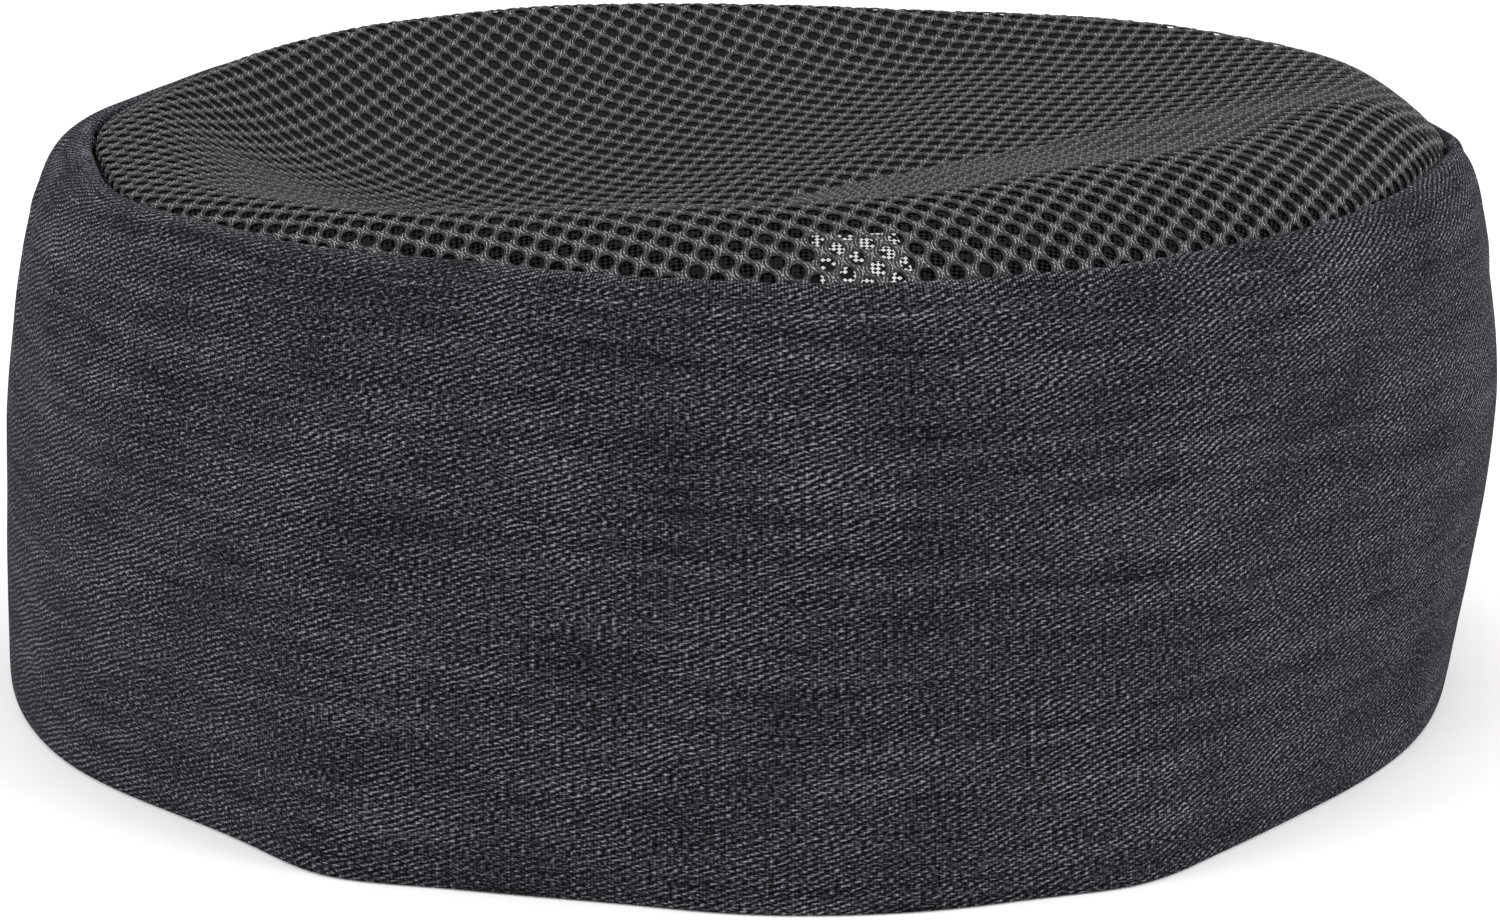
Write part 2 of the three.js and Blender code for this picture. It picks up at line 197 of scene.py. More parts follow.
def read_points(piece: Piece) -> np.ndarray:
    """Reads the places of a mesh's vertices.

    Args:
        piece: The mesh object.

    Returns:
        An array of points, one row each.
    """
    flat = np.empty(len(piece.data.vertices) * 3, dtype=np.float64)
    piece.data.vertices.foreach_get("co", flat)
    return flat.reshape(-1, 3)


def write_points(piece: Piece, points: np.ndarray) -> None:
    """Moves a mesh's vertices.

    Args:
        piece: The mesh object.
        points: An array of points, one row each.
    """
    piece.data.vertices.foreach_set("co", points.astype(np.float32).ravel())
    piece.data.update()


def write_cloth_map(piece: Piece, across: np.ndarray, along: np.ndarray, wrap: float = 0.0) -> None:
    """Gives a mesh a UV map that holds places on its cloth.

    Args:
        piece: The mesh object.
        across: Each vertex's place across the cloth.
        along: Each vertex's place along the cloth.
        wrap: The length round a closed ring of cloth, or 0. A face on the join takes places past it.
    """
    mesh = piece.data
    corners = np.empty(len(mesh.loops), dtype=np.int32)
    mesh.loops.foreach_get("vertex_index", corners)
    places = np.stack([across[corners], along[corners]], axis=1)
    if wrap:
        starts = np.empty(len(mesh.polygons), dtype=np.int32)
        counts = np.empty(len(mesh.polygons), dtype=np.int32)
        mesh.polygons.foreach_get("loop_start", starts)
        mesh.polygons.foreach_get("loop_total", counts)
        highest = np.maximum.reduceat(places[:, 0], starts)
        joined = np.repeat(highest, counts) - places[:, 0] > wrap / 2
        places[joined, 0] += wrap
    layer = mesh.uv_layers.get(CLOTH_MAP) or mesh.uv_layers.new(name=CLOTH_MAP)
    layer.data.foreach_set("uv", places.astype(np.float32).ravel())


def smooth_copy(node: str, name: str, levels: int, rounded: bool = True) -> Piece:
    """Copies a CAD node, merges its loose triangles into quads and rounds them off.

    Args:
        node: The node's name.
        name: The copy's name.
        levels: Levels of subdivision.
        rounded: Whether the subdivision rounds the form off.

    Returns:
        The new object.
    """
    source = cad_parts[node]
    piece = source.copy()
    piece.data = source.data.copy()
    name_piece(piece, name)
    piece.data.materials.clear()
    piece.parent = None
    piece.matrix_world = source.matrix_world
    bpy.context.collection.objects.link(piece)
    for key in list(piece.keys()):
        del piece[key]
    select_only(piece)
    bpy.ops.object.mode_set(mode="EDIT")
    bpy.ops.mesh.select_all(action="SELECT")
    bpy.ops.mesh.remove_doubles(threshold=WELD)
    bpy.ops.mesh.tris_convert_to_quads(face_threshold=QUAD_BEND, shape_threshold=QUAD_SKEW)
    bpy.ops.object.mode_set(mode="OBJECT")
    bpy.ops.object.transform_apply(location=True, rotation=True, scale=True)
    if levels:
        kind = "CATMULL_CLARK" if rounded else "SIMPLE"
        apply_modifier(piece, "SUBSURF", levels=levels, render_levels=levels, subdivision_type=kind)
    bpy.ops.object.shade_smooth()
    return piece


def finish_piece(piece: Piece, material: Material) -> None:
    """Dresses a piece, lets it ride on the cap's body and reports it.

    Args:
        piece: The piece.
        material: Its material.
    """
    piece.data.materials.clear()
    piece.data.materials.append(material)
    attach(piece, BODY)
    log.info("%s: %d faces", piece.name, len(piece.data.polygons))


def math_of(tree: Tree, operation: str, *values: Source | float) -> Node:
    """Reckons with values.

    Args:
        tree: The node tree.
        operation: The node's operation.
        values: Values, nodes or sockets, in order.

    Returns:
        The result's node.
    """
    return add_node(tree, "Math", values, operation=operation)


def range_of(tree: Tree, level: Source, known: Span, wanted: Span = (0.0, 1.0)) -> Node:
    """Turns one range of a level into another, and holds it within that.

    Args:
        tree: The node tree.
        level: The level.
        known: Where the level's range starts and ends.
        wanted: What the two ends turn into.

    Returns:
        The new level's node.
    """
    return add_node(tree, "MapRange", (level, *known, *wanted), clamp=True)


def wave_of(tree: Tree, phase: Source, period: float, kind: str = "COSINE") -> Node:
    """Turns a length into a wave that swings from -1 to 1.

    Args:
        tree: The node tree.
        phase: The node or socket that gives the length.
        period: The wave's length.
        kind: COSINE or SINE.

    Returns:
        The wave's node.
    """
    turned = math_of(tree, "MULTIPLY", phase, FULL_TURN / period)
    return math_of(tree, kind, turned)


def sum_of(tree: Tree, parts: Iterable[tuple[Source, float]], start: float = 0.0) -> Node:
    """Adds weighted parts up.

    Args:
        tree: The node tree.
        parts: Pairs of a node or socket and its weight.
        start: What the sum starts from.

    Returns:
        The sum's node.
    """
    total = start
    for part, weight in parts:
        total = math_of(tree, "MULTIPLY_ADD", part, weight, total)
    return total


def noise_of(tree: Tree, place: Source, size: Size, detail: float = 2.0) -> Node:
    """Makes flat noise about 0, mostly from -1 to 1, with features of a given size.

    Args:
        tree: The node tree.
        place: The place on the cloth.
        size: A feature's size across and along.
        detail: The noise's finer layers.

    Returns:
        The noise's node.
    """
    scaled = add_node(tree, "Mapping", {"Vector": place, "Scale": (1 / size[0], 1 / size[1], 1.0)})
    settings = {"Vector": scaled, "Scale": 1.0, "Detail": detail}
    noise = add_node(tree, "TexNoise", settings, noise_dimensions="2D")
    # The noise itself lies about 0.5, mostly from 0.25 to 0.75.
    return math_of(tree, "MULTIPLY_ADD", noise, 4.0, -2.0)


def ramp_of(tree: Tree, level: Source, stops: Stops) -> Node:
    """Turns a level into a colour.

    Args:
        tree: The node tree.
        level: The level, from 0 to 1.
        stops: Places on the ramp and their sRGB colours, from low to high.

    Returns:
        The ramp's node.
    """
    ramp = add_node(tree, "ValToRGB", [level])
    elements = ramp.color_ramp.elements
    while len(elements) < len(stops):
        elements.new(0.5)
    for element, (position, colour) in zip(elements, stops):
        element.position = position
        element.color = linear(colour)
    return ramp


def cloth_of(tree: Tree, colour: Source, height: Source, bump: Bump, values: dict) -> Node:
    """Makes a cloth's shader.

    Args:
        tree: The node tree.
        colour: The cloth's colour.
        height: How far the cloth stands up, about 0.
        bump: How strongly and how deep that shows.
        values: The shader's other values, by name.

    Returns:
        The shader's node.
    """
    relief = {"Height": height, "Strength": bump[0], "Distance": bump[1] * MM}
    raised = add_node(tree, "Bump", relief)
    return add_node(tree, "BsdfPrincipled", {"Base Color": colour, "Normal": raised, **values})


@dataclass(frozen=True)
class EdgeLine:
    """A line along the band's top edge."""

    drop: float  # mm below the edge
    strength: float  # how much lighter it is, or darker below 0
    width: float  # mm


@dataclass(frozen=True)
class CharcoalDenim:
    """Charcoal denim, a twill of dark cotton warp over a heather weft, woven and washed.

    The eye sees grainy diagonal ribs that come and go, short pale flecks, dark slubs across and soft clouds.
    """

    colours: Stops = (
        (0.0, "#030304"),
        (0.3, "#0c0c0e"),
        (0.5, "#212124"),
        (0.72, "#45464b"),
        (1.0, "#85878d"),
    )
    yarn_spacing: float = 0.41  # mm from one warp yarn to the next
    twill_spacing: float = 0.63  # mm from one diagonal line to the next
    twill_rise: float = 20.6  # degrees that the diagonals rise to the right
    wander: float = 0.25  # mm that the yarns wander
    wander_size: Size = (9.0, 3.0)  # mm, as all sizes here
    # A pale fleck's length and height, drawn coarser than the real 0.15 mm of height so that it shows.
    fleck: Size = (0.6, 0.2)
    fleck_detail: float = 3.0
    slub: Size = (14.0, 0.45)
    slub_limit: float = -0.25  # only slubs that are darker than this show
    streak: Size = (30.0, 2.2)
    cloud: Size = (16.0, 16.0)
    cloud_range: Span = (-0.9, 0.9)
    rib_clearness: Span = (0.5, 1.1)  # at the ends of the clouds' range
    # How strongly ribs, yarns, flecks, slubs, streaks and clouds show, and what the colour starts from.
    weights: tuple[float, ...] = (0.2, 0.05, 0.42, 0.17, 0.055, 0.02)
    start: float = 0.53
    # Lines along the top edge: a lighter line on its crest, partly pale fluff and partly painted highlight;
    # a darker line of painted shade along the ridge of the fold inside; and a pulled yarn.
    edge_lines: tuple[EdgeLine, ...] = (
        EdgeLine(0.1, 0.14, 0.7),
        EdgeLine(1.5, -0.14, 0.3),
        EdgeLine(3.9, 0.26, 0.15),
    )
    edge_sway: float = 0.3  # mm that these lines rise and fall
    edge_sway_size: Size = (13.0, 60.0)
    gap: Size = (9.0, 1.6)  # of the gaps in these lines
    gap_range: Span = (0.05, 0.75)
    gap_clearness: Span = (0.1, 1.3)  # of the lines at the ends of the gaps' range
    edge_ribs: float = 0.14  # how clear the yarns are that turn over the edge
    edge_rib_reach: float = 2.6  # mm
    relief: tuple[float, ...] = (0.3, 0.1, 0.5)  # how far ribs, yarns and flecks stand up
    bump: Bump = (0.8, 0.1)
    roughness: float = 0.95
    sheen: float = 0.01
    sheen_roughness: float = 0.5
    shine: float = 0.04

    def material(self) -> Material:
        """Makes the material.

        Returns:
            The material.
        """
        made, tree, place, across, along = new_cloth("charcoal_denim_twill")
        sway = noise_of(tree, place, self.wander_size)
        shift = sum_of(tree, [(sway, self.wander), (along, 1.0)])
        rise = math.radians(self.twill_rise)
        slope = sum_of(tree, [(shift, -math.cos(rise)), (across, math.sin(rise))])
        twill = wave_of(tree, slope, self.twill_spacing)
        yarns = wave_of(tree, across, self.yarn_spacing)
        clouds = noise_of(tree, place, self.cloud)
        clear = range_of(tree, clouds, self.cloud_range, self.rib_clearness)
        ribs = math_of(tree, "MULTIPLY", twill, clear)
        flecks = noise_of(tree, place, self.fleck, self.fleck_detail)
        slubs = math_of(tree, "MINIMUM", noise_of(tree, place, self.slub), self.slub_limit)
        streaks = noise_of(tree, place, self.streak)
        seen = (ribs, yarns, flecks, slubs, streaks, clouds)
        level = sum_of(tree, zip(seen, self.weights), self.start)
        level = self._edged(tree, place, along, yarns, level)
        ramp = ramp_of(tree, level, self.colours)
        height = sum_of(tree, zip((ribs, yarns, flecks), self.relief))
        values = {
            "Roughness": self.roughness,
            "Sheen Weight": self.sheen,
            "Sheen Roughness": self.sheen_roughness,
            "Specular IOR Level": self.shine,
        }
        shader = cloth_of(tree, ramp, height, self.bump, values)
        add_node(tree, "OutputMaterial", [shader])
        return made

    def _edged(self, tree: Tree, place: Source, along: Source, yarns: Source, level: Source) -> Node:
        """Draws the lines along the top edge and the yarns that turn over it.

        Args:
            tree: The node tree.
            place: The place on the cloth.
            along: The same along the cloth alone.
            yarns: The yarns' wave.
            level: The colour's level without them.

        Returns:
            The level with them.
        """
        sway = noise_of(tree, place, self.edge_sway_size)
        below = sum_of(tree, [(sway, self.edge_sway), (along, -1.0)])
        broken = range_of(tree, noise_of(tree, place, self.gap), self.gap_range, self.gap_clearness)
        # The crest line is partly painted highlight, and the line along the fold's ridge is painted shade.
        for line in self.edge_lines:
            shown = math_of(tree, "MULTIPLY", self._near(tree, below, line.drop, line.width), broken)
            level = math_of(tree, "MULTIPLY_ADD", shown, line.strength, level)
        ribs = math_of(tree, "MULTIPLY", yarns, self._near(tree, below, 0.0, self.edge_rib_reach))
        return math_of(tree, "MULTIPLY_ADD", ribs, self.edge_ribs, level)

    def _near(self, tree: Tree, below: Source, drop: float, width: float) -> Node:
        """Finds the cloth near a line along the top edge.

        Args:
            tree: The node tree.
            below: How far the cloth lies below the top edge.
            drop: How far the line lies below it, in mm.
            width: How far from the line its strength runs out.

        Returns:
            A share from 0 to 1.
        """
        away = math_of(tree, "ABSOLUTE", math_of(tree, "SUBTRACT", below, drop))
        return range_of(tree, away, (0.0, width), (1.0, 0.0))


@dataclass(frozen=True)
class SpacerKnit:
    """Charcoal polyester, warp knitted into open rows of holes.

    The eye sees strands of three glossy yarns that wind from side to side round the holes, with bright loops
    where they meet. Those bright loops and the glints in the fine noise are painted highlights, and the
    flanks that fall to the holes carry painted shade. The yarns are drawn a little coarser than the real
    0.25 mm so that they show.
    """

    colours: Stops = ((0.0, "#020202"), (0.3, "#111011"), (0.62, "#3a383a"), (1.0, "#a09da0"))
    yarn_width: float = 0.4  # mm across one yarn of a strand
    stitch_length: float = 0.55  # mm from one loop of stitch to the next
    strand_swing: float = 0.11  # of the course pitch, how far a strand winds to each side
    meet_range: Span = (0.15, -0.75)  # of the waves' product, where strands meet
    # Size of the fine noise that stands for fluff and also paints glints.
    fuzz_and_glints: Size = (0.09, 0.09)  # in holes and pairs of rows
    flank_shade_start: float = 0.45  # how far down its flank, from 0 to 1, painted shade starts to darken a strand
    # How strongly yarns, glinting knot yarns (painted highlight), loops, meetings (painted highlight on the
    # knots), the noise of fluff and painted glints, and the flanks' painted shade show, and what it starts
    # from.
    weights: tuple[float, ...] = (0.24, 0.2, 0.13, 0.13, 0.2, -0.5)
    start: float = 0.31
    relief: tuple[float, ...] = (0.5, 0.3, 0.2)  # how far yarns, glinting knot yarns and loops stand up
    bump: Bump = (0.8, 0.12)
    roughness: float = 0.45
    shine: float = 0.35

    def material(self, course_pitch: float, row_pair: float) -> Material:
        """Makes the material. Its map counts holes across and pairs of rows along.

        Args:
            course_pitch: From hole to hole across, in mm.
            row_pair: From row to next but one row, in mm.

        Returns:
            The material.
        """
        made, tree, place, across, along = new_cloth("knitted_polyester_face")
        step = math_of(tree, "FRACT", across)
        folded = math_of(tree, "ABSOLUTE", math_of(tree, "ADD", step, -0.5))
        rows = wave_of(tree, along, 1.0)
        columns = wave_of(tree, across, 1.0)
        # Two strands pass each hole, each a quarter of the pitch from it and swinging away from it.
        swing = self.strand_swing * course_pitch
        side = sum_of(tree, [(folded, course_pitch), (rows, swing)], -course_pitch / 4)
        yarns = wave_of(tree, side, self.yarn_width)
        # Where strands meet the colour is lifted: a painted highlight on the knots.
        meet = range_of(tree, math_of(tree, "MULTIPLY", rows, columns), self.meet_range)
        slant = sum_of(tree, [(along, row_pair), (across, course_pitch / 2)])
        loops = wave_of(tree, slant, self.stitch_length, "SINE")
        # Painted glints on the yarns where strands meet.
        glinting_knot_yarns = math_of(tree, "MULTIPLY", yarns, meet)
        # Fine noise for fluff, weighted up so that it also paints glints.
        fuzz_and_glints = noise_of(tree, place, self.fuzz_and_glints)
        # Painted shade: a strand darkens down its flanks towards the holes.
        flank = add_node(tree, "Attribute", attribute_name=SUNK).outputs["Fac"]
        sunk = range_of(tree, flank, (self.flank_shade_start, 1.0))
        seen = (yarns, glinting_knot_yarns, loops, meet, fuzz_and_glints, sunk)
        ramp = ramp_of(tree, sum_of(tree, zip(seen, self.weights), self.start), self.colours)
        height = sum_of(tree, zip((yarns, glinting_knot_yarns, loops), self.relief))
        values = {"Roughness": self.roughness, "Specular IOR Level": self.shine}
        shader = cloth_of(tree, ramp, height, self.bump, values)
        add_node(tree, "OutputMaterial", [shader])
        return made


@dataclass(frozen=True)
class FineBacking:
    """The same polyester, knitted close as the spacer mesh's backing.

    The eye sees a dark cloth behind the holes, pierced by a fine grid. The real grid is about 0.45 mm, and
    is drawn at 0.62 mm so that it shows.
    """

    colours: Stops = ((0.0, "#060606"), (1.0, "#1b1a1b"))
    pitch: float = 0.62  # mm
    open_share: float = 0.32  # of the grid's cloth that its holes take up
    blocked: float = 0.32  # share of the grid's holes that spacer yarns block
    # The holes are open only further forward than this, in mm, over the label. Further back the real mesh's
    # thickness of spacer yarns lets no light through.
    open_from: float = 50.0
    cord_range: Span = (-2.0, 1.0)  # of the waves' sum, from a cord's crest to a hole
    bump: Bump = (0.5, 0.1)
    roughness: float = 0.8
    shine: float = 0.1

    def material(self) -> Material:
        """Makes the material, which is clear in its holes.

        Returns:
            The material.
        """
        made, tree, _, across, along = new_cloth("knitted_polyester_backing")
        waves = [wave_of(tree, axis, self.pitch) for axis in (across, along)]
        grid = math_of(tree, "ADD", *waves)
        cells = []
        for axis in (across, along):
            counted = math_of(tree, "MULTIPLY_ADD", axis, 1 / self.pitch, 0.5)
            cells.append(math_of(tree, "FLOOR", counted))
        cell = add_node(tree, "CombineXYZ", cells)
        chance = add_node(tree, "TexWhiteNoise", {"Vector": cell}, noise_dimensions="2D")
        free = math_of(tree, "GREATER_THAN", chance, self.blocked)
        in_front = math_of(tree, "LESS_THAN", along, -self.open_from)
        passes = math_of(tree, "MULTIPLY", free, in_front)
        # The waves' sum is 2 in the middle of a hole and falls by the square of the way from there.
        limit = 2 - FULL_TURN * self.open_share
        hole = math_of(tree, "MULTIPLY", math_of(tree, "GREATER_THAN", grid, limit), passes)
        tone = range_of(tree, grid, self.cord_range, (1.0, 0.0))
        ramp = ramp_of(tree, tone, self.colours)
        values = {"Roughness": self.roughness, "Specular IOR Level": self.shine}
        cloth = cloth_of(tree, ramp, tone, self.bump, values)
        clear = add_node(tree, "BsdfTransparent")
        mixed = add_node(tree, "MixShader", [hole, cloth, clear])
        add_node(tree, "OutputMaterial", [mixed])
        return made


@dataclass(frozen=True)
class WovenTape:
    """White polyester label tape, woven in satin.

    The eye sees a cloth that glows whiter than white: a painted glow, light that the tape gives off itself,
    also where little light reaches it.
    """

    white: str = "#f4f4f2"
    shade: str = "#cfd0d2"
    thread: float = 0.3  # mm, drawn coarser than the real 0.15 mm so that it shows
    bump: Bump = (0.3, 0.05)
    roughness: float = 0.45
    # Painted glow: how strongly the tape gives off light of its own.
    painted_glow: float = 0.75

    def material(self) -> Material:
        """Makes the material.

        Returns:
            The material.
        """
        made, tree, _, across, along = new_cloth("woven_label_tape")
        weave = math_of(tree, "MULTIPLY", *[wave_of(tree, axis, self.thread) for axis in (across, along)])
        ramp = ramp_of(tree, range_of(tree, weave, (-1.0, 1.0)), ((0.0, self.shade), (1.0, self.white)))
        # The tape emits its own colour, a painted glow.
        values = {"Roughness": self.roughness, "Emission Color": ramp, "Emission Strength": self.painted_glow}
        shader = cloth_of(tree, ramp, weave, self.bump, values)
        add_node(tree, "OutputMaterial", [shader])
        return made


@dataclass(frozen=True)
class PaleCard:
    """Matt white card, pressed. The eye sees an even, pale floor."""

    white: str = "#fbfbfb"
    shade: str = "#f4f4f4"
    grain_scale: float = 40.0
    roughness: float = 0.95

    def material(self) -> Material:
        """Makes the material.

        Returns:
            The material.
        """
        made = new_material("pressed_card")
        tree = made.node_tree
        place = add_node(tree, "TexCoord")
        settings = {"Vector": place.outputs["Object"], "Scale": self.grain_scale}
        grain = add_node(tree, "TexNoise", settings)
        ramp = ramp_of(tree, grain, ((0.0, self.shade), (1.0, self.white)))
        shader = add_node(tree, "BsdfPrincipled", {"Base Color": ramp, "Roughness": self.roughness})
        add_node(tree, "OutputMaterial", [shader])
        return made


@dataclass
class CrownForm:
    """The crown's smooth top, held as sections from its middle outwards at even steps of cloth."""

    node: str
    levels: int = 2
    bearings: int = 360
    step: float = 0.5 * MM
    casts: int = 90  # down on each section
    cast_height: float = 1.0  # m above the crown, where a cast starts
    widest: float = 0.2  # m from the middle, where a cast misses the crown for sure
    halvings: int = 24  # of the way to the crown's edge
    longest: float = 110 * MM  # of cloth from the middle to the edge
    far: float = 60 * MM  # of cloth straight down past the edge
    blur: float = 2.0  # degrees over which facets are evened out
    blur_reach: int = 5  # bearings to each side that this takes in
    middle: Vector = field(init=False)
    top: float = field(init=False)
    reach: np.ndarray = field(init=False)  # of the cloth to the edge, at each bearing
    points: np.ndarray = field(init=False)
    normals: np.ndarray = field(init=False)

    def __post_init__(self) -> None:
        """Reads the form from the crown's CAD node."""
        smooth = smooth_copy(self.node, "crown_form", self.levels)
        tree = BVHTree.FromObject(smooth, bpy.context.evaluated_depsgraph_get())
        low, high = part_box(self.node)
        self.middle = ((Vector(low) + Vector(high)) / 2).to_2d()
        self.top = Vector(high).z
        turns = np.linspace(0, FULL_TURN, self.bearings, endpoint=False)
        radii, heights, lengths = zip(*(self._section(tree, turn) for turn in turns))
        bpy.data.objects.remove(smooth)
        self.reach = self._evened(np.array(lengths)[:, None])[:, 0]
        radius = self._evened(np.array(radii))
        self.points = np.stack(
            [
                self.middle.x + radius * np.cos(turns)[:, None],
                self.middle.y + radius * np.sin(turns)[:, None],
                self._evened(np.array(heights)),
            ],
            axis=2,
        )
        out = np.gradient(self.points, axis=1)
        aside = np.roll(self.points, -1, axis=0) - np.roll(self.points, 1, axis=0)
        normals = np.cross(out, aside)
        normals[:, 0] = normals[:, 1].sum(axis=0)
        self.normals = normals / np.linalg.norm(normals, axis=2)[:, :, None]
        log.info("cloth reaches %.1f to %.1f mm", self.reach.min() / MM, self.reach.max() / MM)

    def _section(self, tree: BVHTree, turn: float) -> tuple[np.ndarray, np.ndarray, float]:
        """Casts down on the crown along one bearing.

        Args:
            tree: The crown's surface.
            turn: The bearing in radians.

        Returns:
            Radii and heights at even steps of cloth, and the length of cloth up to the edge.
        """
        aim = Vector((math.cos(turn), math.sin(turn), 0))
        start = Vector((self.middle.x, self.middle.y, self.top + self.cast_height))
        down = Vector((0, 0, -1))
        inside, outside = 0.0, self.widest
        for _ in range(self.halvings):
            tried = (inside + outside) / 2
            hit = tree.ray_cast(start + aim * tried, down)[0]
            inside, outside = (tried, outside) if hit else (inside, tried)
        shares = 1 - (1 - np.linspace(0, 1, self.casts)) ** 2  # closer together towards the edge
        radius = inside * shares
        height = np.array([tree.ray_cast(start + aim * float(r), down)[0].z for r in radius])
        lengths = np.concatenate([[0], np.cumsum(np.hypot(np.diff(radius), np.diff(height)))])
        edge = float(lengths[-1])
        radius = np.append(radius, radius[-1])
        height = np.append(height, height[-1] - self.far)
        lengths = np.append(lengths, edge + self.far)
        even = np.arange(0, self.longest + self.far, self.step)
        return np.interp(even, lengths, radius), np.interp(even, lengths, height), edge

    def _evened(self, table: np.ndarray) -> np.ndarray:
        """Evens a table out from bearing to bearing.

        Args:
            table: A row for each bearing.

        Returns:
            The evened table.
        """
        spread = range(-self.blur_reach, self.blur_reach + 1)
        weights = np.array([math.exp(-((turn / self.blur) ** 2)) for turn in spread])
        return sum(w * np.roll(table, turn, axis=0) for w, turn in zip(weights / weights.sum(), spread))

    def _between(self, table: np.ndarray, across: np.ndarray, along: np.ndarray) -> np.ndarray:
        """Reads a table of vectors between its rows and columns.

        Args:
            table: A vector for each bearing and step.
            across: Places on the flat cloth.
            along: Places on the flat cloth.

        Returns:
            A vector for each place.
        """
        turn = (np.arctan2(along, across) / FULL_TURN) % 1.0 * self.bearings
        reach = np.minimum(np.hypot(across, along) / self.step, table.shape[1] - 2)
        row = np.floor(turn).astype(int)
        column = np.floor(reach).astype(int)
        row_share = (turn - row)[:, None]
        column_share = (reach - column)[:, None]
        row = row % self.bearings
        after = (row + 1) % self.bearings
        near = table[row, column] * (1 - column_share) + table[row, column + 1] * column_share
        far = table[after, column] * (1 - column_share) + table[after, column + 1] * column_share
        return near * (1 - row_share) + far * row_share

    def lay(self, flat: np.ndarray) -> np.ndarray:
        """Lays flat cloth on the crown.

        Args:
            flat: Points of the flat cloth, with their heights over its face.

        Returns:
            The points on the crown.
        """
        across, along = flat[:, 0], flat[:, 1]
        ground = self._between(self.points, across, along)
        return ground + self._between(self.normals, across, along) * flat[:, 2:]

    def past_edge(self, flat: np.ndarray) -> np.ndarray:
        """Measures how far points of the flat cloth lie past the band's edge.

        Args:
            flat: Points of the flat cloth.

        Returns:
            A length for each point, below 0 inside the edge.
        """
        turn = (np.arctan2(flat[:, 1], flat[:, 0]) / FULL_TURN) % 1.0 * self.bearings
        return np.hypot(flat[:, 0], flat[:, 1]) - self.reach[np.floor(turn).astype(int) % self.bearings]


@dataclass(frozen=True)
class Crease:
    """A small crease in the band. Bearings are in degrees; heights, width and lift in mm."""

    start_turn: float
    start_up: float
    end_turn: float
    end_up: float
    width: float
    lift: float  # outwards


@dataclass
class Band:
    """The denim band, a ring of cloth folded double with a turned-in top edge."""

    finish: CharcoalDenim = field(default_factory=CharcoalDenim)
    levels: int = 2
    creep: float = 0.25 * MM  # how far the cloth wavers in and out between its folds
    creep_size: float = 11 * MM
    calm: float = 12 * MM  # above the hem, over which that sets in
    edge_places: int = 180  # round the top edge, where its crest is looked for
    creases: tuple[Crease, ...] = (
        Crease(354.0, 68.0, 356.5, 57.0, 1.7, -1.3),
        Crease(350.5, 67.0, 352.0, 57.0, 2.2, 0.5),
        Crease(184.0, 68.0, 187.0, 60.0, 1.6, -0.9),
        Crease(191.0, 64.0, 196.0, 50.0, 2.6, -0.5),
        Crease(203.0, 62.0, 208.0, 44.0, 2.6, 0.35),
    )

    def build(self) -> None:
        """Builds the band."""
        piece = smooth_copy("band", "denim_band", self.levels)
        self._waver(piece)
        self._crease(piece)
        low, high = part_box("band")
        radius = (high[0] - low[0]) / 2
        points = read_points(piece)
        turn = np.arctan2(points[:, 1], points[:, 0]) % FULL_TURN
        girth = FULL_TURN * radius
        write_cloth_map(piece, turn * radius / MM, -self._below_edge(points, turn) / MM, girth / MM)
        finish_piece(piece, self.finish.material())
        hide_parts("band")

    def _crease(self, piece: Piece) -> None:
        """Presses the small creases into the cloth.

        Args:
            piece: The band.
        """
        points = read_points(piece)
        out = np.hypot(points[:, 0], points[:, 1])
        turn = np.degrees(np.arctan2(points[:, 1], points[:, 0])) % 360
        lift = np.zeros(len(points))
        for crease in self.creases:
            across = np.radians((turn - crease.start_turn + 180) % 360 - 180) * out
            up = points[:, 2] - crease.start_up * MM
            run = math.radians(crease.end_turn - crease.start_turn) * float(out.mean())
            rise = (crease.end_up - crease.start_up) * MM
            share = np.clip((across * run + up * rise) / (run**2 + rise**2), 0, 1)
            away = np.hypot(across - share * run, up - share * rise)
            lift += crease.lift * MM * np.exp(-((away / (crease.width * MM)) ** 2))
        grown = (out + lift) / out
        write_points(piece, points * np.stack([grown, grown, np.ones(len(points))], axis=1))

    def _below_edge(self, points: np.ndarray, turn: np.ndarray) -> np.ndarray:
        """Measures how far points lie from the crest of the band's top edge, at their bearing.

        Args:
            points: The band's points.
            turn: Their bearings in radians.

        Returns:
            A length for each point.
        """
        out = np.hypot(points[:, 0], points[:, 1])
        places = np.linspace(0, FULL_TURN, self.edge_places, endpoint=False)
        nearest = np.round(turn / FULL_TURN * self.edge_places).astype(int) % self.edge_places
        crest_out = np.zeros(self.edge_places)
        crest_up = np.zeros(self.edge_places)
        for place in range(self.edge_places):
            here = np.flatnonzero(nearest == place)
            highest = here[np.argmax(points[here, 2])]
            crest_out[place] = out[highest]
            crest_up[place] = points[highest, 2]
        away = out - np.interp(turn, places, crest_out, period=FULL_TURN)
        down = points[:, 2] - np.interp(turn, places, crest_up, period=FULL_TURN)
        return np.hypot(away, down)

    def _waver(self, piece: Piece) -> None:
        """Lets the cloth waver softly in and out, less towards the hem that it stands on.

        Args:
            piece: The band.
        """
        clouds = bpy.data.textures.new("soft_cloth", "CLOUDS")
        clouds.noise_scale = self.creep_size
        clouds.noise_depth = 1
        above = piece.vertex_groups.new(name="above_hem")
        points = read_points(piece)
        weights = np.clip(points[:, 2] / self.calm, 0, 1)
        for index, weight in enumerate(weights):
            above.add([index], float(weight), "REPLACE")
        apply_modifier(
            piece, "DISPLACE", texture=clouds, strength=self.creep, mid_level=0.5, vertex_group=above.name
        )
        piece.vertex_groups.clear()


